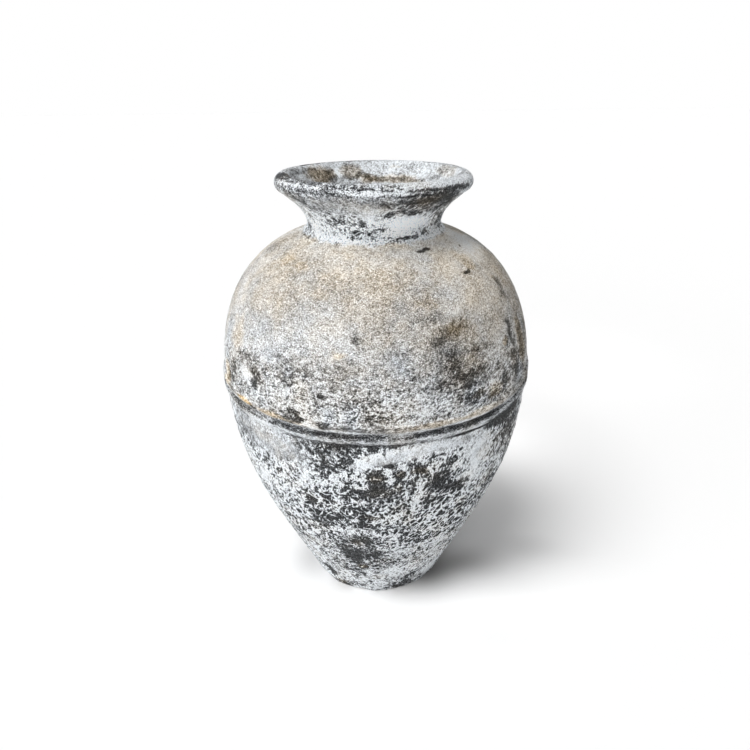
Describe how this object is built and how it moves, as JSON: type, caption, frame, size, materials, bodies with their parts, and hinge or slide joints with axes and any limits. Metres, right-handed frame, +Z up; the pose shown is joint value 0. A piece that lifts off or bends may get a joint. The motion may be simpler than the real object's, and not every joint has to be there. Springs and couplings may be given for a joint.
{
  "type": "pithos",
  "caption": "Tall coil-built clay storage jar with a narrow flat foot, a wide belly ringed by raised cords, a round shoulder and a flared, rolled mouth.",
  "frame": {"origin": "centre of the flat underside, on the ground", "axes": "+Z up along the axis of the jar; the jar is round, so X and Y are free, and -Y is the side that the picture shows"},
  "size_m": [0.631, 0.631, 0.9],
  "materials": {
    "shoulder_clay": "dry matt fired clay, warm beige, finely mottled with lime and soot",
    "weathered_clay": "rough pitted fired clay with white lime crust over dark grey"
  },
  "bodies": {
    "root": {"base_slab": "weathered_clay", "floor_coil": "weathered_clay", "lip_roll": "weathered_clay", "lower_cordon": "weathered_clay", "lower_course_1": "weathered_clay", "lower_course_2": "weathered_clay", "lower_course_3": "weathered_clay", "neck_coil": "weathered_clay", "neck_flare": "weathered_clay", "shoulder_course_1": "shoulder_clay", "shoulder_course_2": "shoulder_clay", "shoulder_course_3": "shoulder_clay", "upper_cordon": "shoulder_clay"}
  },
  "joints": []
}
